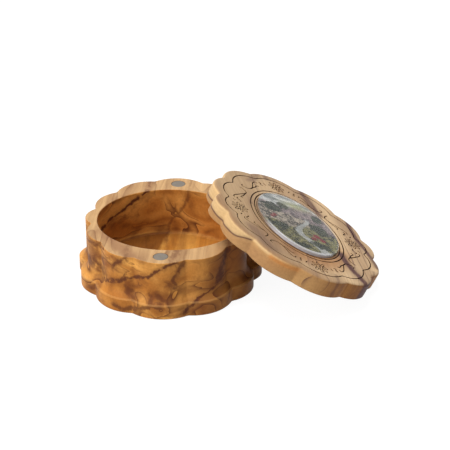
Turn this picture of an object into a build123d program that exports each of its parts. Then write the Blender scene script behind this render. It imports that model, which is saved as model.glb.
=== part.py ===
# Scalloped olive-wood rosary box with a loose lid that magnets hold shut, in millimetres.
# The box stands on Z = 0 with the middle of its underside at the origin, its long axis along Y.
# The lid is off: it leans on the rim towards +X, with its far edge on the ground.
import os
from math import atan, cos, radians, sin

from build123d import *

# Scalloped outline of the foot and the lid: arcs between notches that lie on an ellipse
notch_half_width = 35.0
notch_half_length = 39.1
notch_angles = (10.6, 38.4, 71.2)  # on the ellipse, in the first quarter
lobe_rises = (3.45, 3.65, 4.0, 3.65, 3.45, 3.35)  # half a turn of lobes, from the first notch on
notch_round = 1.5

# Box: upright foot, a hollow flare in to the upright wall, and a cavity with a flat floor
box_height = 23.6
foot_height = 6.1
foot_overhang = 3.2
flare_height = 4.2
flare_steps = 5
flare_hollow = 3  # power of the curve that the flare follows
underside_chamfer = 0.4
foot_top_chamfer = 0.35
ledge_width = 0.3  # flat, from the foot's chamfer in to the flare
rim_round = 0.4
cavity_half_width = 29.5
cavity_half_length = 26.7
floor_thickness = 3.0
floor_fillet = 1.6

# Magnets in the rim and in the lid's underside, each glued into a blind pocket
magnet_diameter = 6.0
magnet_thickness = 2.0
magnet_chamfer = 0.2
pocket_clearance = 0.05
glue_thickness = 0.2

# Lid board
lid_thickness = 7.2
lid_top_round = 1.2
lid_underside_chamfer = 0.3

# Oval picture: a printed plate under a domed clear cover, glued into a recess in the lid
picture_half_width = 17.8
picture_half_length = 22.9
recess_depth = 0.9
recess_clearance = 0.1
adhesive_thickness = 0.1
print_thickness = 1.5
cover_edge_height = 0.5
cover_crown = 0.7
cover_round = 0.4

# Engraving in the lid's top
engraving_depth = 0.35
line_width = 0.55
scroll_line_width = 0.5
petal_line_width = 0.4
border_inset = 4.5  # from the outline's notches in to the border's
ring_margins = (1.0, 2.8)  # from the picture out to each ring
petal_count = 8
petal_offset = 2.5
petal_half_length = 1.4
petal_half_width = 0.78
flower_eye_radius = 0.55

# One quarter's scrolls, as the points that each stroke passes, from the border's middle notch
scroll_strokes = (
    ((-5.0, 1.4), (-4.4, 0.1), (-5.7, -0.7), (-7.5, -0.6), (-9.2, 0.5), (-10.2, 2.7),
     (-10.9, 5.1), (-11.9, 7.1), (-13.1, 7.9), (-13.7, 7.0)),
    ((-8.5, 0.0), (-10.1, 1.6), (-11.4, 2.7), (-12.5, 4.3), (-13.9, 4.7)),
    ((-14.9, 9.0), (-15.8, 8.6), (-15.6, 7.5), (-16.6, 7.1)),
    ((-17.5, 9.6), (-18.4, 8.2)),
    ((-2.5, -2.1), (-4.0, -3.3), (-4.7, -4.9), (-4.2, -6.4), (-2.5, -7.8), (-0.2, -9.4),
     (2.0, -11.0), (3.3, -12.4), (3.2, -13.9)),
    ((-3.9, -6.9), (-2.8, -8.4), (-1.7, -10.0), (-0.4, -11.2), (-1.3, -12.1)),
    ((1.4, -12.9), (1.9, -14.4), (0.9, -15.3), (1.3, -16.2)),
    ((4.5, -15.3), (3.6, -16.4)),
)

# Where the lid leans
lean_bearing = 10.6  # degrees from +X towards +Y, down the slope
lean_reach = 43.5  # from the foot of the box out to the lid's lowest edge
lean_shift = -11.4  # of the lid's middle, square to the bearing
lid_turn = 9.5  # degrees that the lid is turned on its own face
rest_clearance = 0.3  # between the lid and what it leans on


def notch_points(inset):
    """Return the notches of an outline this far inside the foot's, counter-clockwise."""
    half_turn = list(notch_angles) + [180 - angle for angle in reversed(notch_angles)]
    full_turn = half_turn + [180 + angle for angle in half_turn]
    half_width = notch_half_width - inset
    half_length = notch_half_length - inset
    return [(half_width * cos(radians(a)), half_length * sin(radians(a))) for a in full_turn]


def lobed_face(inset=0.0):
    """Return the face of a scalloped outline with softened notches."""
    notches = notch_points(inset)
    with BuildSketch() as outline:
        with BuildLine():
            for start, end, rise in zip(notches, notches[1:] + notches[:1], lobe_rises * 2):
                SagittaArc(start, end, -rise)
        make_face()
        fillet(outline.vertices(), notch_round)
    return outline.sketch


def reach(face, bearing):
    """Return how far a face reaches from the origin towards a bearing in degrees."""
    return face.rotate(Axis.Z, -bearing).bounding_box().max.X


os.makedirs("parts", exist_ok=True)

foot_face = lobed_face()
wall_face = lobed_face(foot_overhang)
flare_inset = foot_top_chamfer + ledge_width
flare_top = foot_height + flare_height

# The lid's underside leans from the rim's edge to the ground, with the same clearance at both
rim_edge = reach(wall_face, lean_bearing)
lid_edge = reach(foot_face, -lid_turn)
lid_foot = reach(foot_face, lean_bearing) + lean_reach
tilt = atan(box_height / (lid_foot - rim_edge))
lid_middle = (
    lid_foot - lid_edge * cos(tilt),
    lean_shift,
    rest_clearance + lid_edge * sin(tilt),
)
bearing_plane = Plane.XY.rotated((0, 0, lean_bearing))
downhill = bearing_plane.from_local_coords((cos(tilt), 0, -sin(tilt)))
lid_normal = bearing_plane.from_local_coords((sin(tilt), 0, cos(tilt)))
lid_underside = Plane(
    origin=bearing_plane.from_local_coords(lid_middle),
    x_dir=downhill.rotate(Axis((0, 0, 0), lid_normal), lid_turn),
    z_dir=lid_normal,
)
lid_top = lid_underside.offset(lid_thickness)
lid_axis = Axis(lid_underside.origin, lid_underside.z_dir)

# Magnets sit midway across the rim at the ends of the long axis
magnet_offset = (cavity_half_length + reach(wall_face, 90)) / 2
magnet_places = {"front": (0, -magnet_offset), "rear": (0, magnet_offset)}
magnet_radius = magnet_diameter / 2
pocket_radius = magnet_radius + pocket_clearance
pocket_depth = magnet_thickness + glue_thickness

# Hollow of the box, from above the rim down to the rounded corner of its floor
with BuildPart() as cavity:
    with BuildSketch(Plane.XY.offset(floor_thickness)):
        Ellipse(cavity_half_width, cavity_half_length)
    extrude(amount=box_height)
    fillet(cavity.faces().sort_by(Axis.Z)[0].edges(), floor_fillet)

# Box body: cut from one block
with BuildPart() as box_body:
    with BuildSketch():
        add(foot_face)
    extrude(amount=foot_height)
    chamfer(box_body.faces().sort_by(Axis.Z)[0].edges(), underside_chamfer)
    chamfer(box_body.faces().sort_by(Axis.Z)[-1].edges(), foot_top_chamfer)
    for step in range(flare_steps + 1):
        rise = step / flare_steps
        inset = foot_overhang - (foot_overhang - flare_inset) * (1 - rise) ** flare_hollow
        with BuildSketch(Plane.XY.offset(foot_height + flare_height * rise)):
            add(lobed_face(inset))
    loft()
    with BuildSketch(Plane.XY.offset(flare_top)):
        add(wall_face)
    extrude(amount=box_height - flare_top)
    add(cavity.part, mode=Mode.SUBTRACT)
    fillet(box_body.faces().sort_by(Axis.Z)[-1].edges(), rim_round)
    with BuildSketch(Plane.XY.offset(box_height)):
        with Locations(*magnet_places.values()):
            Circle(pocket_radius)
    extrude(amount=-pocket_depth, mode=Mode.SUBTRACT)
box_body.part.label = "box_body"
export_step(box_body.part, "parts/box_body.step")

# Lid board: the foot's outline, engraved on top, with pockets in its flat underside
border = lobed_face(border_inset)
border_notches = notch_points(border_inset)
scroll_start = Vector(*border_notches[len(notch_angles) // 2])
ring_half_widths = [picture_half_width + margin for margin in ring_margins]
ring_half_lengths = [picture_half_length + margin for margin in ring_margins]
border_size = border.bounding_box().size
flower_places = (
    ((ring_half_widths[-1] + border_size.X / 2) / 2, 0),
    (0, (ring_half_lengths[-1] + border_size.Y / 2) / 2),
)

with BuildPart() as lid_board:
    with BuildSketch(lid_underside):
        add(foot_face)
    extrude(amount=lid_thickness)
    fillet(lid_board.faces().sort_by(lid_axis)[-1].edges(), lid_top_round)
    chamfer(lid_board.faces().sort_by(lid_axis)[0].edges(), lid_underside_chamfer)
    with BuildSketch(lid_top):
        Ellipse(picture_half_width + recess_clearance, picture_half_length + recess_clearance)
    extrude(amount=-recess_depth, mode=Mode.SUBTRACT)
    with BuildSketch(lid_underside):
        with Locations(*magnet_places.values()):
            Circle(pocket_radius)
    extrude(amount=pocket_depth, mode=Mode.SUBTRACT)
    with BuildSketch(lid_top):
        add(lobed_face(border_inset - line_width / 2))
        add(lobed_face(border_inset + line_width / 2), mode=Mode.SUBTRACT)
    extrude(amount=-engraving_depth, mode=Mode.SUBTRACT)
    for half_width, half_length in zip(ring_half_widths, ring_half_lengths):
        with BuildSketch(lid_top):
            Ellipse(half_width + line_width / 2, half_length + line_width / 2)
            Ellipse(half_width - line_width / 2, half_length - line_width / 2, mode=Mode.SUBTRACT)
        extrude(amount=-engraving_depth, mode=Mode.SUBTRACT)
    with BuildSketch(lid_top):
        with Locations(*flower_places):
            Circle(flower_eye_radius)
            with PolarLocations(petal_offset, petal_count):
                Ellipse(petal_half_length, petal_half_width)
                Ellipse(
                    petal_half_length - petal_line_width,
                    petal_half_width - petal_line_width,
                    mode=Mode.SUBTRACT,
                )
        for stroke in scroll_strokes:
            with BuildLine():
                Spline(*[scroll_start + Vector(*point) for point in stroke])
            trace(line_width=scroll_line_width)
        mirror(about=Plane.XZ)
        mirror(about=Plane.YZ)
    extrude(amount=-engraving_depth, mode=Mode.SUBTRACT)
lid_board.part.label = "lid_board"
export_step(lid_board.part, "parts/lid_board.step")

# Magnets and the glue under them. Each pocket opens along its plane's normal.
pocket_planes = {
    "rim": Plane.XY.offset(box_height),
    "lid": Plane(lid_underside.origin, x_dir=lid_underside.x_dir, z_dir=-lid_underside.z_dir),
}
for holder, opening_plane in pocket_planes.items():
    for end, place in magnet_places.items():
        magnet_name = f"{holder}_magnet_{end}"
        with BuildPart() as magnet:
            with BuildSketch(opening_plane):
                with Locations(place):
                    Circle(magnet_radius)
            extrude(amount=-magnet_thickness)
            chamfer(magnet.edges(), magnet_chamfer)
        magnet.part.label = magnet_name
        export_step(magnet.part, f"parts/{magnet_name}.step")

        glue_name = f"{holder}_glue_{end}"
        with BuildPart() as glue:
            with BuildSketch(opening_plane.offset(-pocket_depth)):
                with Locations(place):
                    Circle(magnet_radius)
            extrude(amount=glue_thickness)
        glue.part.label = glue_name
        export_step(glue.part, f"parts/{glue_name}.step")

# Picture, in layers from the recess up
adhesive_plane = lid_top.offset(-recess_depth)
print_plane = adhesive_plane.offset(adhesive_thickness)
cover_plane = print_plane.offset(print_thickness)
cover_height = cover_edge_height + cover_crown
crown_radius = (picture_half_length**2 + cover_crown**2) / (2 * cover_crown)

for name, plane, thickness in (
    ("picture_adhesive", adhesive_plane, adhesive_thickness),
    ("picture_print", print_plane, print_thickness),
):
    with BuildPart() as layer:
        with BuildSketch(plane):
            Ellipse(picture_half_width, picture_half_length)
        extrude(amount=thickness)
    layer.part.label = name
    export_step(layer.part, f"parts/{name}.step")

with BuildPart() as dome:
    with BuildSketch():
        Ellipse(picture_half_width, picture_half_length)
    extrude(amount=cover_height)
    with Locations((0, 0, cover_height - crown_radius)):
        Sphere(crown_radius, mode=Mode.INTERSECT)
    fillet(dome.faces().sort_by(Axis.Z)[-1].edges(), cover_round)
picture_cover = cover_plane.location * dome.part
picture_cover.label = "picture_cover"
export_step(picture_cover, "parts/picture_cover.step")
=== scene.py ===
import bpy
import math
import numpy as np
from mathutils import Matrix, Vector


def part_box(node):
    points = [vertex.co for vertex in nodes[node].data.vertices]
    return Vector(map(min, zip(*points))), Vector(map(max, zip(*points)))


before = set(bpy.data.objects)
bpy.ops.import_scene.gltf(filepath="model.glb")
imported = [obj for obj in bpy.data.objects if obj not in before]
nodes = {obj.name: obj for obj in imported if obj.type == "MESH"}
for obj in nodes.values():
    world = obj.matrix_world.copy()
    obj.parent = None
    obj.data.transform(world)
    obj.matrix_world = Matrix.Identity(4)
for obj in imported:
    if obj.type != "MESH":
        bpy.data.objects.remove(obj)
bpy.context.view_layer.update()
mm = 0.001

drawnLine = {
    "reach": 45.0,  # mm each way that a curve widget's 0 to 1 stands for
    "core": 0.64,  # share of the sharp bell curve across a line, the rest is the wide one's
    "haloSpread": 0.12,  # the smaller, the wider
}


# One shader socket. A sum on such sockets reads as plain maths and adds its own Math nodes.
class Wire:
    def __init__(self, paint, socket):
        self.paint = paint
        self.socket = socket

    def maths(self, operation, *others, clamp=False):
        return self.paint.maths(operation, self, *others, clamp=clamp)

    def __add__(self, other):
        return self.maths("ADD", other)

    def __sub__(self, other):
        return self.maths("SUBTRACT", other)

    def __rsub__(self, other):
        return self.paint.maths("SUBTRACT", other, self)

    def __mul__(self, other):
        return self.maths("MULTIPLY", other)

    def __truediv__(self, other):
        return self.maths("DIVIDE", other)

    def __pow__(self, other):
        return self.maths("POWER", other)

    def __neg__(self):
        return self.maths("MULTIPLY", -1.0)

    __radd__ = __add__
    __rmul__ = __mul__


def asColour(value):  # a wire as it is, and red, green and blue as an opaque colour
    return value if isinstance(value, Wire) else (*value, 1.0)


# A curve widget gets its corners (0 to 1 each way), and stays level past its ends.
def drawCurve(mapping, corners):
    points = mapping.curves[0].points
    points[0].location = corners[0]
    points[1].location = corners[-1]
    for corner in corners[1:-1]:
        points.new(*corner)
    mapping.extend = "HORIZONTAL"
    mapping.update()


# The node tree of one material or world, and the few kinds of node that the finishes need.
class Paint:
    def __init__(self, owner):
        self.owner = owner
        owner.use_nodes = True
        self.tree = owner.node_tree
        self.tree.nodes.clear()

    # any node: its type, its settings, which are set first, and the values or wires of its inputs
    def node(self, kind, settings=None, inputs=None, output=0):
        made = self.tree.nodes.new(kind)
        for name, value in (settings or {}).items():
            if name == "corners":
                drawCurve(made.mapping, value)
            else:
                setattr(made, name, value)
        for name, value in (inputs or {}).items():
            if isinstance(value, Wire):
                self.tree.links.new(value.socket, made.inputs[name])
            else:
                made.inputs[name].default_value = value
        return Wire(self, made.outputs[output]) if len(made.outputs) else None

    def maths(self, operation, *values, clamp=False):
        return self.node("ShaderNodeMath", {"operation": operation, "use_clamp": clamp},
                         dict(enumerate(values)))

    def vector(self, operation, *values, output=0):
        return self.node("ShaderNodeVectorMath", {"operation": operation},
                         dict(enumerate(values)), output)

    # millimetres along the axes of a place, given as its middle and three unit axes
    def millimetres(self, middle=(0, 0, 0), axes=((1, 0, 0), (0, 1, 0), (0, 0, 1))):
        turn = Matrix(axes).transposed().to_euler()
        coordinates = self.node("ShaderNodeTexCoord", output=3)
        return self.node("ShaderNodeMapping", {"vector_type": "TEXTURE"}, {
            "Vector": coordinates, "Location": tuple(middle), "Rotation": tuple(turn),
            "Scale": (mm, mm, mm)})

    # how far the surface faces a direction: 1 straight at it, 0 across it
    def facing(self, direction):
        return self.vector("DOT_PRODUCT", self.node("ShaderNodeTexCoord", output=1), direction, output=1)

    def split(self, point):
        parts = self.node("ShaderNodeSeparateXYZ", None, {0: point}).socket.node.outputs
        return [Wire(self, part) for part in parts]

    # noise with one scale, or with one for each axis: a small scale draws it out that way
    def noise(self, point, scales, detail=2.0, roughness=0.5, distortion=0.0, output=0):
        if not isinstance(scales, tuple):
            scales = (scales, scales, scales)
        return self.node("ShaderNodeTexNoise", None, {
            "Vector": self.vector("MULTIPLY", point, scales), "Scale": 1.0, "Detail": detail,
            "Roughness": roughness, "Distortion": distortion}, output)

    # a point moved about by a noise, up to half the reach each way
    def shaken(self, point, scales, reach, detail=2.0, roughness=0.5):
        colours = self.noise(point, scales, detail, roughness, output=1)
        return self.vector("MULTIPLY_ADD", self.vector("SUBTRACT", colours, (0.5, 0.5, 0.5)), reach, point)

    # 0 below the first value, 1 above the second, and smooth between them
    def smooth(self, value, start, end):
        return self.node("ShaderNodeMapRange", {"interpolation_type": "SMOOTHSTEP"}, {
            0: value, 1: start, 2: end, 3: 0.0, 4: 1.0})

    def blend(self, share, under, over, kind="MIX"):
        return self.node("ShaderNodeMix", {"data_type": "RGBA", "blend_type": kind}, {
            0: share, 6: asColour(under), 7: asColour(over)}, 2)

    # millimetres that b lies above a drawn line of corners (a, b)
    def above(self, a, b, corners):
        reach = drawnLine["reach"]
        scaled = [tuple((value + reach) / (2 * reach) for value in corner) for corner in sorted(corners)]
        line = self.node("ShaderNodeFloatCurve", {"corners": scaled}, {"Value": (a + reach) / (2 * reach)})
        return b - (line * (2 * reach) - reach)

    # How near a point is to a sheet through the wood, whose section is a drawn line of corners (a, b).
    # It is a sharp bell curve of the distance plus a wide one, and fades to 0 past the line's ends.
    def sheet(self, a, b, corners, width):
        away = self.above(a, b, corners) / width
        first, last = min(corners)[0], max(corners)[0]
        half = (last - first) / 2
        ends = self.smooth((a - (first + last) / 2).maths("ABSOLUTE"), half + width, half - width)
        square = away * away
        core = (-(square * square)).maths("EXPONENT")
        halo = (square * -drawnLine["haloSpread"]).maths("EXPONENT")
        return (core * drawnLine["core"] + halo * (1 - drawnLine["core"])) * ends

    def bump(self, height, distance, strength):
        return self.node("ShaderNodeBump", None, {
            "Height": height, "Distance": distance, "Strength": strength})

    def principled(self, **inputs):
        names = {"colour": "Base Color", "roughness": "Roughness", "metallic": "Metallic",
                 "gloss": "Specular IOR Level", "normal": "Normal"}
        return self.node("ShaderNodeBsdfPrincipled", None, {
            names[name]: value for name, value in inputs.items()})

    def surface(self, shader, kind="ShaderNodeOutputMaterial"):
        self.node(kind, None, {"Surface": shader})
        return self.owner


def newPaint(name):
    return Paint(bpy.data.materials.new(name))


def dress(material, *names):
    for name in names:
        for slot in nodes[name].material_slots:
            slot.material = material


# grows with the square of the distance from a middle, and is 1 on the oval with these half sizes
def oval(x, y, halfSizes, middle=(0.0, 0.0)):
    return ((x - middle[0]) / halfSizes[0]) ** 2.0 + ((y - middle[1]) / halfSizes[1]) ** 2.0


def strongest(masks):
    result = masks[0]
    for mask in masks[1:]:
        result = result.maths("MAXIMUM", mask)
    return result


def meshCorners(piece):
    corners = np.empty(len(piece.data.vertices) * 3, dtype=np.float32)
    piece.data.vertices.foreach_get("co", corners)
    return corners.reshape(-1, 3).astype(float)


# middle and axes of a flat oval piece, from the spread of its mesh's corners
def ovalPlace(piece):
    corners = meshCorners(piece)
    middle = corners.mean(axis=0)
    spread = np.linalg.svd(corners - middle, full_matrices=False)[2]
    along = spread[0] * (1 if spread[0][1] > 0 else -1)
    normal = spread[2] * (1 if spread[2][2] > 0 else -1)
    across = np.cross(along, normal)
    return middle, (tuple(across), tuple(along), tuple(normal))


# the lid's own axes have their middle in the film under the picture, and its top lies above that
lidMiddle, lidAxes = ovalPlace(nodes["picture_adhesive"])
lidUp = lidAxes[2]
lidTop = ((meshCorners(nodes["lid_board"]) - lidMiddle) @ np.array(lidUp)).max() / mm
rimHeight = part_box("box_body")[1][2] / mm
print("lid leans", round(math.degrees(math.acos(lidUp[2])), 1), "degrees")
print("rim stands at", round(rimHeight, 1), "mm")


woodSkin = {
    "veinEdge": 0.93,  # where a vein's sharp side starts, in shares of a band
    "fibreRange": (0.3, 0.75),
    "poreRange": (0.66, 0.8),
    "gloss": 0.1,
    "grainDepth": 0.05 * mm,
    "grainStrength": 0.5,
    "fibreDepth": 0.4,  # shares of the pores' depth
    "veinDepth": 0.2,
    "fibreRoughness": 0.16,
}


# Olive wood, in a block with its grain along Y. A slow noise bends the block's space. In it a second
# noise, drawn out along the grain, stands for the growth. Its level lines are the veins: each is sharp
# on one side and fades on the other. Finer noises give the fibres and the pores.
def oliveFigure(paint, point, figure):
    swept = paint.shaken(point, figure["wanderScale"], figure["wanderReach"])
    growth = paint.noise(swept, figure["growthScale"], 1.6, 0.45, figure["growthTwist"])
    bands = (growth * figure["bandCount"]).maths("FRACT")
    vein = (bands * -figure["veinSharpness"]).maths("EXPONENT")
    vein = vein * paint.smooth(bands, 1.0, woodSkin["veinEdge"])
    broad = paint.noise(swept, figure["broadScale"])
    fibres = paint.noise(swept, figure["fibreScale"], 3.0, 0.6)
    pores = paint.noise(swept, figure["poreScale"], 1.0)
    return {
        "swept": swept,
        "tone": paint.smooth(growth, *figure["toneRange"]),
        "veins": vein * paint.smooth(broad, *figure["veinWhere"]),
        "broad": broad,
        "fibres": fibres,
        "fibre": paint.smooth(fibres, *woodSkin["fibreRange"]),
        "pores": paint.smooth(pores, *woodSkin["poreRange"]),
    }


# The wood's skin: fibres, pores and veins lie a little lower than the rest.
def finishWood(paint, wood, veins, colour, roughness):
    height = wood["fibre"] * -woodSkin["fibreDepth"] - wood["pores"] - veins * woodSkin["veinDepth"]
    return paint.surface(paint.principled(
        colour=colour, roughness=roughness + wood["fibres"] * woodSkin["fibreRoughness"],
        gloss=woodSkin["gloss"],
        normal=paint.bump(height, woodSkin["grainDepth"], woodSkin["grainStrength"])))


boxWood = {
    "wanderScale": (0.045, 0.014, 0.045),
    "wanderReach": (9.0, 0.0, 9.0),
    "growthScale": (0.060, 0.014, 0.085),
    "growthTwist": 0.9,
    "toneRange": (0.34, 0.66),
    "bandCount": 6.0,
    "veinSharpness": 4.5,
    "veinWhere": (0.34, 0.56),
    "broadScale": (0.07, 0.02, 0.07),
    "fibreScale": (1.1, 0.06, 1.1),
    "poreScale": (4.2, 0.5, 4.2),
    "streakScale": (0.42, 0.018, 0.2),  # along the rim
    "smudgeScale": (0.16, 0.05, 0.2),
    "raggedScale": (0.34, 0.12, 0.34),  # what makes the drawn veins ragged
    "raggedReach": (4.0, 4.0, 4.0),
    "patchScale": 0.35,  # what breaks them up
    "sideLight": (0.74, 0.35, 0.08),
    "sideDark": (0.47, 0.175, 0.03),
    "topLight": (0.6, 0.375, 0.175),
    "topDark": (0.47, 0.28, 0.128),
    "insideLight": (0.72, 0.335, 0.078),
    "insideDark": (0.46, 0.168, 0.03),
    "heart": (0.22, 0.078, 0.020),  # dark heartwood of the front right, with painted shade under the lid
    "smudge": (0.2, 0.064, 0.016),
    "stain": (0.165, 0.045, 0.011),
    "rimGrey": (0.33, 0.175, 0.082),
    "floorShade": (0.92, 0.97, 0.86),  # over the cavity's floor
    "floorLeftShadow": (0.36, 0.26, 0.22),  # painted shadow over the floor's left part
    # painted highlight along the step on the foot
    "ledgeHighlight": (0.66, 0.37, 0.13),
    "vein": (0.098, 0.029, 0.012),
    "pore": (0.16, 0.07, 0.03),
    "insideOval": (30.2, 27.4),  # half sizes, just outside the cavity's wall
    "floorHeight": 3.0,
    "ledgeHeight": 6.1,  # of the step on the foot
    "topFacing": (0.55, 0.95),
    "streakRange": (0.28, 0.70),
    "fibreShare": 0.18,
    "heartShadeWhere": (19.0, 36.0),  # along X, where the heartwood and the painted shade set in
    "heartLean": 0.35,  # how much further on it sets in for each millimetre along Y
    "heartShadeWander": 22.0,  # mm by which its edge wanders
    "heartShadeShare": 0.78,
    "smudgeRange": (0.48, 0.68),
    "smudgeShare": 0.42,
    "smudgeLeft": 0.36,  # more of them at the left
    "leftFrom": (-9.0, -26.0),  # along X
    "leftTo": (-27.0, -33.0),
    "stainsFrom": (0.0, -8.0),  # along Y
    "floorLeftShadowWhere": (-7.4, -9.4),
    "floorLeftShadowLean": 0.19,
    "floorCalm": 0.8,  # share of the grown veins that the floor is without
    "patchRange": (0.2, 0.5),
    "ledgeHighlightShare": 0.22,
    "poreShare": 0.35,
    "roughness": 0.40,
    # veins through the wood: the axis that each runs along, its section's corners, its nearest and
    # furthest Y, its width and its darkness
    "veins": (
        ("x", ((-19.4, 17.0), (-15.9, 21.4), (-12.6, 23.2)), (None, -5), 1.2, 0.84),
        ("x", ((-24.0, 9.5), (-19.2, 11.3), (-12.0, 14.6), (-7.8, 16.0), (-3.6, 17.6), (-0.4, 20.7),
               (2.4, 22.5), (8.0, 22.9)), (None, -12), 0.95, 0.95),
        ("x", ((-17.0, 12.4), (-13.2, 16.1)), (None, -12), 0.61, 0.78),
        ("x", ((-35.0, 19.0), (-28.1, 21.9), (-24.0, 20.6)), (None, 0), 1.1, 0.67),
        ("x", ((-36.0, 8.0), (-28.5, 13.1), (-25.8, 12.0), (-22.0, 14.0)), (None, 0), 2.2, 0.8),
        ("x", ((-32.5, 2.3), (-26.4, 4.5)), (None, 0), 1.4, 0.56),
        ("x", ((-15.0, 11.0), (-12.1, 8.2), (-9.0, 6.5)), (None, -12), 1.6, 0.62),
        ("x", ((-19.6, 3.2), (-15.4, 1.9), (-10.7, 2.7), (-2.9, 5.3), (2.0, 5.6)), (None, -29), 1.1, 0.8),
        ("z", ((5.0, -3.1), (10.5, -3.4)), (None, -12), 0.68, 0.67),
        ("x", ((-2.4, 8.8), (1.4, 7.7), (5.6, 6.4)), (None, -12), 1.2, 0.67),
        ("z", ((11.0, 6.0), (13.9, 4.1), (16.5, 2.2)), (None, -12), 0.94, 0.56),
        ("z", ((11.0, 6.6), (15.9, 5.7), (19.2, 7.2), (23.8, 9.3)), (None, -5), 0.81, 0.78),
        ("z", ((1.2, 9.2), (5.1, 12.6), (8.0, 17.4), (9.3, 20.7), (11.8, 22.5), (16.7, 23.2),
               (19.5, 24.5), (23.8, 25.5)), (None, -5), 1.1, 1.0),
        ("x", ((-29.5, 14.6), (-22.9, 17.1), (-17.2, 20.5), (-11.2, 23.6)), (0, None), 0.81, 1.0),
        ("z", ((3.0, -4.0), (9.0, -2.5), (15.0, 2.5), (23.8, 5.0)), (0, None), 0.81, 0.62),
    ),
    # soft stains on the outside, at the front: axis, section's corners, width and darkness
    "stains": (
        ("x", ((-31.9, 13.0), (-28.0, 15.7), (-23.8, 17.0), (-19.7, 18.3), (-15.3, 21.0)), 1.3, 0.7),
        ("x", ((-31.0, 3.0), (-26.8, 5.0), (-24.4, 8.6)), 1.3, 0.6),
        ("z", ((6.5, -12.1), (9.6, -12.9), (13.4, -12.8)), 1.4, 0.75),
        ("x", ((-4.4, 7.4), (-1.0, 9.4), (0.8, 8.8), (4.6, 8.7)), 2.0, 0.7),
        ("z", ((12.0, 4.4), (13.2, 3.4), (17.2, 6.6), (20.8, 7.2)), 1.3, 0.6),
        ("x", ((-33.0, 19.0), (-30.2, 21.5), (-26.0, 22.6)), 0.8, 0.5),
        ("x", ((9.0, 1.6), (13.8, 3.2), (17.6, 3.9)), 1.3, 0.6),
    ),
    # greyish bands across the rim: corners (Y, X), width and darkness
    "rimBands": (
        (((-36.0, -9.5), (-30.4, -13.6), (-24.5, -18.0), (-12.0, -25.0)), 3.6, 0.95),
        (((10.0, -9.0), (29.2, -11.7), (40.0, -11.0)), 1.4, 0.8),
        (((-40.0, 4.6), (-30.0, 5.6), (-20.0, 6.0)), 0.9, 0.6),
        (((14.0, -24.0), (22.0, -21.5), (34.0, -20.0)), 2.0, 0.55),
    ),
}


# The masks of the box's rim, its cavity and the cavity's floor, each from height, facing and an oval.
def boxMasks(paint, x, y, z):
    top = paint.smooth(paint.facing((0, 0, 1)), *boxWood["topFacing"])
    top = top * paint.smooth(z, rimHeight - 2.0, rimHeight - 0.4)
    level = boxWood["floorHeight"]
    inside = paint.smooth(oval(x, y, boxWood["insideOval"]), 1.02, 0.99)
    inside = inside * paint.smooth(z, level - 0.2, level)
    floor = paint.smooth(z, level + 1.2, level + 0.4) * inside
    return top, inside, floor


# Ground colour of the box: light and dark by the growth, outside and inside, and paler and streaky on
# the rim. Fibres, the heartwood with painted shade at the front right, and smudges lie over it.
def boxGround(paint, wood, x, y, top, inside):
    side = paint.blend(wood["tone"], boxWood["sideDark"], boxWood["sideLight"])
    hollow = paint.blend(wood["tone"], boxWood["insideDark"], boxWood["insideLight"])
    streaks = paint.noise(wood["swept"], boxWood["streakScale"], 2.5, 0.6)
    streaks = paint.smooth(streaks, *boxWood["streakRange"])
    rim = paint.blend(streaks, boxWood["topDark"], boxWood["topLight"])
    colour = paint.blend(inside * (1 - top), side, hollow)
    colour = paint.blend(top, colour, rim)
    colour = paint.blend(wood["fibre"] * boxWood["fibreShare"], colour, boxWood["vein"], "MULTIPLY")
    # dark heartwood and painted shade under the lid at the front right, weaker on the rim
    heart = x - y * boxWood["heartLean"] + (wood["broad"] - 0.5) * boxWood["heartShadeWander"]
    heart = paint.smooth(heart, *boxWood["heartShadeWhere"]) * (1 - inside)
    colour = paint.blend(heart * (boxWood["heartShadeShare"] - top * 0.45), colour, boxWood["heart"])
    smudges = paint.noise(wood["swept"], boxWood["smudgeScale"], 4.0, 0.6)
    smudges = paint.smooth(smudges, *boxWood["smudgeRange"])
    left = paint.smooth(x, *boxWood["leftFrom"]) * (1 - paint.smooth(x, *boxWood["leftTo"]))
    share = boxWood["smudgeShare"] + left * boxWood["smudgeLeft"] - top * 0.3
    return paint.blend(smudges * share, colour, boxWood["smudge"])
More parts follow.
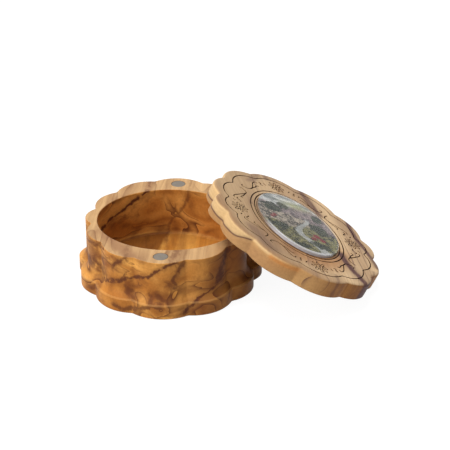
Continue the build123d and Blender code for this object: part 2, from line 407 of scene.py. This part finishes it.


# Box of olive wood: over the ground colour lie the stains, the rim's bands, the floor's painted shade and
# painted shadow, the drawn and the grown veins, a painted highlight along the foot's step and the pores.
def oliveWoodBox():
    paint = newPaint("oliveWoodBox")
    point = paint.millimetres()
    x, y, z = paint.split(point)
    wood = oliveFigure(paint, point, boxWood)
    top, inside, floor = boxMasks(paint, x, y, z)
    colour = boxGround(paint, wood, x, y, top, inside)
    ragged = paint.shaken(point, boxWood["raggedScale"], boxWood["raggedReach"], 4.0, 0.62)
    ragX, ragY, ragZ = paint.split(ragged)

    def drawn(runs, corners, width):  # a sheet whose line runs along X, or up along Z
        along, across = (ragX, ragZ) if runs == "x" else (ragZ, ragX)
        return paint.sheet(along, across, corners, width)

    def drawnVein(runs, corners, depths, width, darkness):
        near, far = depths
        vein = drawn(runs, corners, width)
        if near is not None:
            vein = vein * paint.smooth(y, near, near + 4)
        if far is not None:
            vein = vein * paint.smooth(y, far, far - 4)
        return vein * darkness

    outside = (1 - inside) * (1 - top) * paint.smooth(y, *boxWood["stainsFrom"])
    for runs, corners, width, darkness in boxWood["stains"]:
        colour = paint.blend(drawn(runs, corners, width) * outside * darkness, colour, boxWood["stain"])
    for corners, width, darkness in boxWood["rimBands"]:
        band = paint.sheet(ragY, ragX, corners, width)
        colour = paint.blend(band * top * darkness, colour, boxWood["rimGrey"])
    colour = paint.blend(floor, colour, boxWood["floorShade"], "MULTIPLY")
    # painted shadow over the floor's left part, with a ragged edge
    shaded = paint.smooth(ragX - ragY * boxWood["floorLeftShadowLean"], *boxWood["floorLeftShadowWhere"])
    colour = paint.blend(floor * shaded, colour, boxWood["floorLeftShadow"], "MULTIPLY")
    veins = strongest([drawnVein(*vein) for vein in boxWood["veins"]])
    veins = veins * paint.smooth(paint.noise(point, boxWood["patchScale"]), *boxWood["patchRange"])
    grown = wood["veins"] * (1 - floor * boxWood["floorCalm"])
    veins = grown.maths("MAXIMUM", veins, clamp=True)
    colour = paint.blend(veins * (1 - top * 0.35), colour, boxWood["vein"])
    # painted highlight along the step on the foot, where its edge catches the light
    level = boxWood["ledgeHeight"]
    ledgeHighlight = paint.smooth(z, level - 0.6, level - 0.2) * paint.smooth(z, level + 0.2, level + 0.02)
    colour = paint.blend(ledgeHighlight * (1 - inside) * boxWood["ledgeHighlightShare"], colour, boxWood["ledgeHighlight"])
    colour = paint.blend(wood["pores"] * boxWood["poreShare"], colour, boxWood["pore"])
    return finishWood(paint, wood, veins, colour, boxWood["roughness"] + veins * 0.05)


lidWood = {
    "wanderScale": (0.035, 0.012, 0.035),
    "wanderReach": (7.0, 0.0, 5.0),
    "growthScale": (0.085, 0.009, 0.05),
    "growthTwist": 0.3,
    "toneRange": (0.36, 0.64),
    "bandCount": 7.0,
    "veinSharpness": 8.0,
    "veinWhere": (0.50, 0.70),
    "broadScale": (0.06, 0.012, 0.05),
    "fibreScale": (1.2, 0.05, 1.2),
    "poreScale": (4.2, 0.5, 4.2),
    "stripeScale": (0.5, 0.1, 0.02),  # of the stripes up the side
    "raggedScale": (0.5, 0.05, 0.5),  # what makes the drawn bands ragged
    "raggedReach": (2.4, 0.0, 0.0),
    "streakScale": (1.6, 0.04, 1.6),  # what breaks them up
    "topLight": (0.67, 0.465, 0.265),
    "topDark": (0.49, 0.32, 0.178),
    # the side's lit and shaded copies of its wood: painted light at the left, painted shade at the right
    "sideLight": (0.62, 0.37, 0.150),
    "sideDark": (0.3, 0.132, 0.042),
    "creamAndLit": (0.65, 0.44, 0.215),  # above the side's growth line, partly painted light
    "under": (0.36, 0.185, 0.075),  # below it
    "orange": (0.52, 0.21, 0.055),  # of the flame on the side
    "leftShade": (0.70, 0.67, 0.64),  # over the top's left half
    "scorch": (0.72, 0.50, 0.34),  # over the wood beside the rings, at the lower left
    "brownShade": (0.86, 0.72, 0.56),  # painted shade over the side towards the right
    "endShade": (0.07, 0.028, 0.026),  # heartwood on the side, at the end of its band
    "stripe": (0.22, 0.09, 0.032),
    "edgeShade": (0.36, 0.205, 0.100),  # of the top, along its lower left edge
    "vein": (0.09, 0.036, 0.032),
    # of the burnt engraving, and of the painted shadow in the gap beside the picture
    "burnAndGapShadow": (0.030, 0.014, 0.009),
    "pore": (0.2, 0.12, 0.075),
    "lobedOval": (35.0, 39.1),  # half sizes, near the lobes' notches
    "engravedOval": (34.2, 38.0),  # half sizes of the oval that holds all the engraving
    "pictureOval": (17.8, 22.9),  # half sizes of the picture
    "heartPlace": (24.8, -31.0),  # middle and half sizes of the side's heartwood
    "heartOval": (5.0, 5.5),
    "topFacing": (0.45, 0.9),
    "fibreShare": 0.16,
    # along X, from none to all: the side's painted light, its growth line, its painted brown shade and
    # stripes, and the top's left shade
    "sideLitWhere": (-10.0, -36.0),
    "lineWhere": (-8.0, -20.0),
    "brownWhere": (-4.0, 14.0),
    "stripeWhere": (1.0, 12.0),
    "leftWhere": (20.0, -28.0),
    "lineWidth": 0.35,
    "creamAndLitEdge": (-0.6, 0.6),  # mm above the growth line
    "underEdge": (0.4, -2.0),
    "flameWhere": (-25.0, -30.0),  # along Y
    "flameWidth": 0.8,
    "stripeRange": (0.47, 0.62),
    "stripeShare": 0.55,
    "ringReach": (2.4, 1.3),  # of the scorched wood, on the picture's oval
    "poreShare": 0.3,
    "burnDepth": (0.04, 0.16),
    "burnEnd": (0.9, 0.8),  # below this depth it is the picture's recess
    "roughness": 0.42,
    "growthLine": ((-25.6, -0.4), (-24.1, -1.2), (-21.4, -2.7), (-16.9, -3.2), (-8.9, -3.9), (-3.0, -3.4),
                   (13.5, -4.5), (30.0, -4.2)),  # along the side: corners (Y, Z)
    "flame": ((-21.0, -0.6), (-15.1, -0.7), (-9.0, -0.6)),  # along the side: corners (X, Z)
    # heartwood bands through the board: corners (Y, X) of each on the top, width and darkness
    "bands": (
        (((17.0, 16.4), (24.0, 14.4), (29.4, 13.2), (34.6, 11.8), (41.0, 11.2)), 1.7, 0.8),
        (((-41.0, 25.6), (-33.0, 23.2), (-30.0, 21.9), (-23.7, 19.3), (-17.1, 17.3), (-10.8, 17.2)),
         1.8, 1.0),
        (((-15.0, 34.6), (-8.1, 34.0), (-0.3, 32.4), (7.8, 30.7), (15.9, 30.5), (22.0, 31.0)), 1.2, 0.95),
        (((-31.0, -18.5), (-26.0, -21.0), (-20.0, -23.5), (-14.0, -25.0)), 2.8, 0.5),
        (((27.0, -16.0), (33.0, -12.0), (40.0, -9.0)), 2.0, 0.5),
        (((35.0, -5.0), (42.0, -5.6)), 1.4, 0.6),
        (((-26.0, 29.0), (-18.0, 31.0)), 0.6, 0.5),
        (((-42.0, 7.6), (-37.0, 8.2), (-33.0, 8.6)), 0.8, 0.5),
        (((-42.0, 13.0), (-38.0, 13.2)), 0.9, 0.45),
    ),
}


# Side of the lid: painted light towards the left, where a growth line parts cream wood above, partly
# painted light, from brown below. Towards the right it has painted brown shade and upright stripes, and it
# ends in a spot of heartwood.
def lidSide(paint, wood, point):
    x, y, z = paint.split(point)
    # painted light on the side towards the left, mixed with the growth's tone
    sideLitLeft = paint.smooth(x + y * 0.35, *lidWood["sideLitWhere"])
    side = paint.blend(wood["tone"] * 0.4 + sideLitLeft * 0.6, lidWood["sideDark"], lidWood["sideLight"])
    near = paint.smooth(x, *lidWood["lineWhere"])
    above = paint.above(y, z, lidWood["growthLine"])
    line = paint.sheet(y, z, lidWood["growthLine"], lidWood["lineWidth"])
    # cream wood above the growth line, partly painted light
    side = paint.blend(paint.smooth(above, *lidWood["creamAndLitEdge"]) * near * 0.8, side, lidWood["creamAndLit"])
    side = paint.blend(paint.smooth(above, *lidWood["underEdge"]) * near * 0.7, side, lidWood["under"])
    side = paint.blend(line * near * 0.85, side, lidWood["vein"])
    flame = paint.sheet(x, z, lidWood["flame"], lidWood["flameWidth"])
    flame = flame * paint.smooth(y, *lidWood["flameWhere"])
    side = paint.blend(flame * 0.8, side, lidWood["orange"])
    # painted shade over the side towards the right
    side = paint.blend(paint.smooth(x, *lidWood["brownWhere"]), side, lidWood["brownShade"], "MULTIPLY")
    stripes = paint.smooth(paint.noise(point, lidWood["stripeScale"], 2.0, 0.6), *lidWood["stripeRange"])
    stripes = stripes * paint.smooth(x, *lidWood["stripeWhere"])
    side = paint.blend(stripes * lidWood["stripeShare"], side, lidWood["stripe"])
    spot = oval(x, y, lidWood["heartOval"], lidWood["heartPlace"]) + (wood["broad"] - 0.5) * 1.5
    return paint.blend(paint.smooth(spot, 1.3, 0.6) * 0.95, side, lidWood["endShade"])


# Top of the lid: light and dark by the growth, duller towards the left, and darker along the lower left
# edge and beside the rings.
def lidFace(paint, wood, x, y, around):
    face = paint.blend(wood["tone"], lidWood["topDark"], lidWood["topLight"])
    face = paint.blend(paint.smooth(x, *lidWood["leftWhere"]), face, lidWood["leftShade"], "MULTIPLY")
    low = paint.smooth(x * -0.024 + y * -0.022, 0.35, 1.0)
    brim = paint.smooth(oval(x, y, lidWood["lobedOval"]) + (wood["broad"] - 0.5) * 0.5, 0.80, 1.0)
    face = paint.blend(low * brim * 0.75, face, lidWood["edgeShade"])
    ringed = paint.smooth(around, *lidWood["ringReach"]) * paint.smooth(y, -2.0, -18.0)
    ringed = ringed * (0.4 + paint.smooth(x, -19.0, -7.0) * 0.6)
    return paint.blend(ringed * 0.8, face, lidWood["scorch"], "MULTIPLY")


# Lid of olive wood: its side and its top by how far a face looks up, then the fibres, the heartwood
# bands with the grown veins, and the pores. The engraving is burnt dark by its depth below the top, and
# the gap at the picture's lower left gets a painted shadow in the same dark.
def oliveWoodLid():
    paint = newPaint("oliveWoodLid")
    point = paint.millimetres(lidMiddle, lidAxes)
    x, y, z = paint.split(point)
    wood = oliveFigure(paint, point, lidWood)
    around = oval(x, y, lidWood["pictureOval"])
    top = paint.smooth(paint.facing(lidUp), *lidWood["topFacing"])
    colour = paint.blend(top, lidSide(paint, wood, point), lidFace(paint, wood, x, y, around))
    colour = paint.blend(wood["fibre"] * lidWood["fibreShare"], colour, lidWood["vein"], "MULTIPLY")
    ragX = paint.split(paint.shaken(point, lidWood["raggedScale"], lidWood["raggedReach"], 2.0, 0.6))[0]
    bands = strongest([paint.sheet(y, ragX, corners, width) * darkness
                       for corners, width, darkness in lidWood["bands"]])
    bands = bands * (0.7 + paint.noise(point, lidWood["streakScale"]) * 0.6)
    veins = wood["veins"].maths("MAXIMUM", bands, clamp=True)
    colour = paint.blend(veins, colour, lidWood["vein"])
    colour = paint.blend(wood["pores"] * lidWood["poreShare"], colour, lidWood["pore"])
    depth = lidTop - z
    burnt = paint.smooth(depth, *lidWood["burnDepth"]) * paint.smooth(depth, *lidWood["burnEnd"])
    burnt = burnt * paint.smooth(oval(x, y, lidWood["engravedOval"]), 1.01, 0.99)
    # painted shadow in the gap along the picture's lower left edge
    gapShadow = paint.smooth(around, 1.07, 1.03) * paint.smooth(x * -0.03 + y * -0.03, -0.3, 0.3)
    colour = paint.blend(burnt.maths("MAXIMUM", gapShadow * 0.8), colour, lidWood["burnAndGapShadow"])
    return finishWood(paint, wood, veins, colour, lidWood["roughness"] + burnt * 0.3)


dress(oliveWoodBox(), "box_body")
dress(oliveWoodLid(), "lid_board")
print("olive wood done: box and lid")


nickel = {
    "dark": (0.165, 0.140, 0.112),
    "light": (0.235, 0.205, 0.170),
    "scratchScale": (9.0, 0.7, 9.0),
    "crossScale": (0.8, 8.0, 0.8),
    "tarnishScale": 0.6,
    "scratchDepth": 0.02 * mm,
}


# Dull nickel of a disc magnet: fine scratches in two directions and a cloudy tarnish.
def dullNickel():
    paint = newPaint("dullNickel")
    point = paint.millimetres()
    scratches = paint.noise(point, nickel["scratchScale"], 2.0, 0.6)
    crossed = paint.noise(point, nickel["crossScale"], 2.0, 0.6)
    tarnish = paint.noise(point, nickel["tarnishScale"], 3.0)
    scuff = scratches * 0.6 + crossed * 0.4
    return paint.surface(paint.principled(
        colour=paint.blend(tarnish, nickel["dark"], nickel["light"]), metallic=0.85,
        roughness=0.38 + scuff * 0.25, normal=paint.bump(scuff, nickel["scratchDepth"], 0.4)))


glue = {
    "dark": (0.60, 0.50, 0.30),
    "light": (0.74, 0.66, 0.46),
    "cloudScale": 0.8,
    "bubbleScale": 4.0,
    "bubbleDepth": 0.05 * mm,
}


# Cured glue: yellowish, a little cloudy, with tiny bubbles.
def curedGlue():
    paint = newPaint("curedGlue")
    point = paint.millimetres()
    cloud = paint.noise(point, glue["cloudScale"], 3.0)
    bubbles = paint.smooth(paint.noise(point, glue["bubbleScale"], 1.0), 0.62, 0.72)
    return paint.surface(paint.principled(
        colour=paint.blend(cloud, glue["dark"], glue["light"]), roughness=0.3 + cloud * 0.2,
        normal=paint.bump(bubbles, glue["bubbleDepth"], 0.6)))


film = {
    "dark": (0.74, 0.74, 0.71),
    "light": (0.86, 0.86, 0.84),
    "threadScale": (5.0, 0.6, 5.0),
    "threadDepth": 0.03 * mm,
}


# White double-sided film: faint fibres and a matt grain.
def adhesiveFilm():
    paint = newPaint("adhesiveFilm")
    threads = paint.noise(paint.millimetres(lidMiddle, lidAxes), film["threadScale"])
    return paint.surface(paint.principled(
        colour=paint.blend(threads, film["dark"], film["light"]), roughness=0.6 + threads * 0.2,
        normal=paint.bump(threads, film["threadDepth"], 0.4)))


dress(dullNickel(), *[name for name in nodes if "_magnet_" in name])
dress(curedGlue(), *[name for name in nodes if "_glue_" in name])
dress(adhesiveFilm(), "picture_adhesive")
print("magnets, glue and film done")


hillside = {
    "sky": (0.30, 0.31, 0.30),
    "cloud": (0.74, 0.71, 0.68),
    "leafDark": (0.012, 0.015, 0.01),
    "leafLight": (0.1, 0.105, 0.06),
    "water": (0.7, 0.67, 0.63),
    "glow": (0.56, 0.54, 0.22),
    "poppy": (0.23, 0.02, 0.024),
    # the plate's side: painted shade away from the lower left, and white where the light falls
    "plateShaded": (0.25, 0.165, 0.105),
    "plate": (0.56, 0.53, 0.55),
    "grainScale": 0.9,
    "patchScale": (0.40, 0.34, 0.3),
    "cloudScale": (0.12, 0.26, 0.1),
    # layers of land, from the far one to the near one: the edge's height, its slope, its swell and how
    # fast it swells, its roughness, its softness, and the dark and the light of the patches
    "layers": (
        (13.5, 0.18, 1.3, 0.28, 6.0, 0.8, (0.15, 0.108, 0.112), (0.4, 0.3, 0.29)),
        (6.0, -0.30, 1.6, 0.21, 8.0, 0.6, (0.062, 0.05, 0.04), (0.52, 0.42, 0.33)),
        (-2.5, 0.16, 1.2, 0.33, 7.0, 0.6, (0.026, 0.024, 0.018), (0.3, 0.265, 0.115)),
    ),
    "stream": (0.24, 4.0, -0.1, 2.5),  # how fast and how far it bends, its lean, its X at the middle
    "streamEnd": (9.0, 5.0),
    "trees": (  # middle and half sizes of each crown
        ((-10.0, 8.5), (4.8, 4.6)), ((-4.0, 12.5), (3.2, 2.8)), ((9.8, 1.0), (4.6, 3.8)),
        ((-9.5, -6.0), (4.2, 3.0)), ((7.5, -13.5), (5.4, 2.8)), ((-2.5, -18.0), (4.4, 2.0)),
        ((11.6, 10.5), (2.8, 3.2)),
    ),
    "glowPlace": (3.0, 16.5),
    "glowOval": (6.0, 2.6),
    "poppies": (  # middle and half size of each
        ((7.2, -6.0), 1.7), ((9.6, -8.0), 1.4), ((5.2, -8.6), 1.3), ((-10.4, 1.6), 1.2),
        ((-12.0, -0.2), 1.0),
    ),
    "gloss": 0.04,
    "inkDepth": 0.01 * mm,
}


# 1 at the lower left of the picture's edge, where the plate's side and the cover's edge get painted light
def litLowerLeft(paint, x, y):
    return paint.smooth(x * -0.018 + y * -0.042, 0.45, 0.95)


# Generic picture in the oval: olive trees and rocks above a stream, with a few poppies. Each layer of
# land is a soft edge along a straight line plus a sine, filled with its own patches. The stream is a
# band about a sine, and a crown or a poppy is an oval with a rough edge. The plate's side is white where
# the light falls at the lower left, and has painted shade elsewhere.
def printedPicture():
    paint = newPaint("printedPicture")
    point = paint.millimetres(lidMiddle, lidAxes)
    x, y = paint.split(point)[:2]
    grain = paint.noise(point, hillside["grainScale"], 2.5, 0.65)
    patches = paint.noise(point, hillside["patchScale"], 3.0, 0.6)
    clouds = paint.smooth(paint.noise(point, hillside["cloudScale"], 3.0, 0.6), 0.40, 0.60)
    colour = paint.blend(clouds, hillside["sky"], hillside["cloud"])
    mottled = paint.smooth(grain * 0.55 + patches * 0.45, 0.45, 0.55)
    for level, slope, swell, pace, rough, softness, dark, light in hillside["layers"]:
        skyline = level + x * slope + (x * pace).maths("SINE") * swell + (patches - 0.5) * rough
        land = paint.smooth(y - skyline, softness, -softness)
        colour = paint.blend(land, colour, paint.blend(mottled, dark, light))
    bendPace, bend, lean, start = hillside["stream"]
    away = (x - ((y * bendPace).maths("SINE") * bend + y * lean + start)).maths("ABSOLUTE")
    streamWidth = 1.7 - y * 0.08  # wider towards the bottom
    stream = paint.smooth(away + (patches - 0.5) * 3.0, streamWidth, streamWidth - 0.8)
    stream = stream * paint.smooth(y, *hillside["streamEnd"]) * 0.9
    colour = paint.blend(stream, colour, paint.blend(grain, hillside["sky"], hillside["water"]))
    leaf = paint.blend(paint.smooth(grain, 0.42, 0.62), hillside["leafDark"], hillside["leafLight"])
    for middle, halfSizes in hillside["trees"]:
        spread = oval(x, y, halfSizes, middle) + (grain - 0.5) * 2.0 + (patches - 0.5) * 2.0
        colour = paint.blend(paint.smooth(spread, 1.05, 0.75), colour, leaf)
    glowing = (-oval(x, y, hillside["glowOval"], hillside["glowPlace"])).maths("EXPONENT")
    colour = paint.blend(glowing * 0.75, colour, hillside["glow"])
    for middle, size in hillside["poppies"]:
        spread = oval(x, y, (size, size), middle) + (grain - 0.5) * 1.2
        colour = paint.blend(paint.smooth(spread, 1.2, 0.7), colour, hillside["poppy"])
    # painted light on the plate's side at the lower left, and painted shade elsewhere
    plateLit = litLowerLeft(paint, x, y) * (0.8 + grain * 0.2)
    plateSide = paint.blend(plateLit, hillside["plateShaded"], hillside["plate"])
    colour = paint.blend(paint.smooth(paint.facing(lidUp), 0.4, 0.6), plateSide, colour)
    return paint.surface(paint.principled(
        colour=colour, roughness=0.5 + grain * 0.2, gloss=hillside["gloss"],
        normal=paint.bump(grain, hillside["inkDepth"], 0.2)))


cover = {
    "mirror": (0.93, 0.95, 0.95, 1.0),
    # grey of the frost, which at the lower left is a painted highlight
    "frostAndHighlightDark": (0.54, 0.52, 0.53),
    "frostAndHighlightLight": (0.66, 0.64, 0.65),
    "clear": (0.97, 0.98, 0.98, 1.0),
    "edgeOval": (17.6, 22.8),  # half sizes, where its rounded edge is
    "rippleScale": 0.12,
    "rippleDepth": 0.4 * mm,
    "refraction": 1.2,
}


# Clear cover: see-through straight on, and glossy by Fresnel, but not on its inner faces. Its rounded
# edge is a little frosted all round, and at the lower left a grey frost stands for a painted highlight.
def clearResin():
    paint = newPaint("clearResin")
    point = paint.millimetres(lidMiddle, lidAxes)
    x, y = paint.split(point)[:2]
    ripple = paint.noise(point, cover["rippleScale"], 1.0)
    normal = paint.bump(ripple, cover["rippleDepth"], 0.5)
    low = litLowerLeft(paint, x, y)
    edge = paint.smooth(oval(x, y, cover["edgeOval"]) + low * 0.05, 0.94, 0.99)
    mirror = paint.principled(colour=cover["mirror"], roughness=0.03 + ripple * 0.05, normal=normal,
                              metallic=1.0)
    frostAndHighlight = paint.principled(
        colour=paint.blend(ripple, cover["frostAndHighlightDark"], cover["frostAndHighlightLight"]), roughness=0.25)
    clear = paint.node("ShaderNodeBsdfTransparent", None, {"Color": cover["clear"]})
    fresnel = paint.node("ShaderNodeFresnel", None, {"IOR": cover["refraction"], "Normal": normal})
    outer = 1 - paint.node("ShaderNodeNewGeometry", output=6)
    # a little frost all round the edge, and much more at the lower left as a painted highlight
    body = paint.node("ShaderNodeMixShader", None, {0: edge * (0.08 + low * 0.6), 1: clear, 2: frostAndHighlight})
    return paint.surface(paint.node("ShaderNodeMixShader", None, {0: fresnel * outer, 1: body, 2: mirror}))


dress(printedPicture(), "picture_print")
dress(clearResin(), "picture_cover")
print("picture and cover done")


studio = {
    "floorReach": 3.0,  # m
    "floorTone": (0.62, 0.62, 0.62, 1.0),
    "white": (1.0, 1.0, 1.0, 1.0),
    "shadowShare": 0.14,
    "worldStrength": 0.40,
    "lamps": (  # name, place in m, size in m, power in W
        ("overhead", (-0.15, 0.05, 1.00), 0.80, 9.0),
        ("key", (-0.65, -0.45, 0.50), 0.50, 4.2),
        ("front", (-0.30, -0.95, 0.40), 0.60, 1.6),
    ),
    "aim": (0.015, 0.0, 0.015),
}


def seenShare(paint):  # 1 for rays that show the white behind the object, straight or in gloss
    path = paint.node("ShaderNodeLightPath").socket.node.outputs
    return strongest([Wire(paint, path[name])
                      for name in ("Is Camera Ray", "Is Glossy Ray", "Is Transmission Ray")])


# Pale floor: to the camera it is mostly plain white and keeps a soft share of the shadow.
def floorWhite():
    paint = newPaint("floorWhite")
    share = studio["shadowShare"]
    lit = paint.node("ShaderNodeBsdfDiffuse", None, {"Color": studio["floorTone"]})
    shaded = paint.node("ShaderNodeBsdfDiffuse", None, {"Color": (share, share, share, 1.0)})
    glow = paint.node("ShaderNodeEmission", None, {
        "Color": studio["white"], "Strength": 1.04 - share * 0.8})
    shown = paint.node("ShaderNodeAddShader", None, {0: shaded, 1: glow})
    return paint.surface(paint.node("ShaderNodeMixShader", None, {0: seenShare(paint), 1: lit, 2: shown}))


def layFloor():
    reach = studio["floorReach"]
    mesh = bpy.data.meshes.new("floor")
    mesh.from_pydata([(-reach, -reach, 0), (reach, -reach, 0), (reach, reach, 0), (-reach, reach, 0)],
                     [], [(0, 1, 2, 3)])
    mesh.materials.append(floorWhite())
    floor = bpy.data.objects.new("floor", mesh)
    bpy.context.scene.collection.objects.link(floor)


# an object that looks from its place towards a point, as a lamp or a camera does
def aimed(name, data, place, point):
    made = bpy.data.objects.new(name, data)
    bpy.context.scene.collection.objects.link(made)
    made.location = place
    made.rotation_euler = (Vector(point) - Vector(place)).to_track_quat("-Z", "Y").to_euler()
    return made


def softLamp(name, place, size, power):
    lamp = bpy.data.lights.new(name, "AREA")
    lamp.shape = "DISK"
    lamp.size = size
    lamp.energy = power
    aimed(name, lamp, place, studio["aim"])


# White backdrop: full white to the camera and in gloss, and dimmer as light on the object.
def paleWorld():
    world = bpy.data.worlds.new("studio")
    bpy.context.scene.world = world
    paint = Paint(world)
    dim = studio["worldStrength"]
    background = paint.node("ShaderNodeBackground", None, {
        "Color": studio["white"], "Strength": seenShare(paint) * (1 - dim) + dim})
    paint.surface(background, "ShaderNodeOutputWorld")


layFloor()
for lampSettings in studio["lamps"]:
    softLamp(*lampSettings)
paleWorld()
bpy.context.scene.view_settings.view_transform = "Standard"
print("studio done")


camera = {
    "place": (73.23, -607.45, 339.14),  # mm
    "target": (19.08, 41.44, 0.0),  # mm
    "focal": 1691.2,  # in pixels of a picture this wide
    "pictureWidth": 450,
}

eye = bpy.data.cameras.new("camera")
eye.sensor_width = 36
eye.lens = camera["focal"] / camera["pictureWidth"] * eye.sensor_width
bpy.context.scene.camera = aimed("camera", eye, Vector(camera["place"]) * mm, Vector(camera["target"]) * mm)
print("camera done")
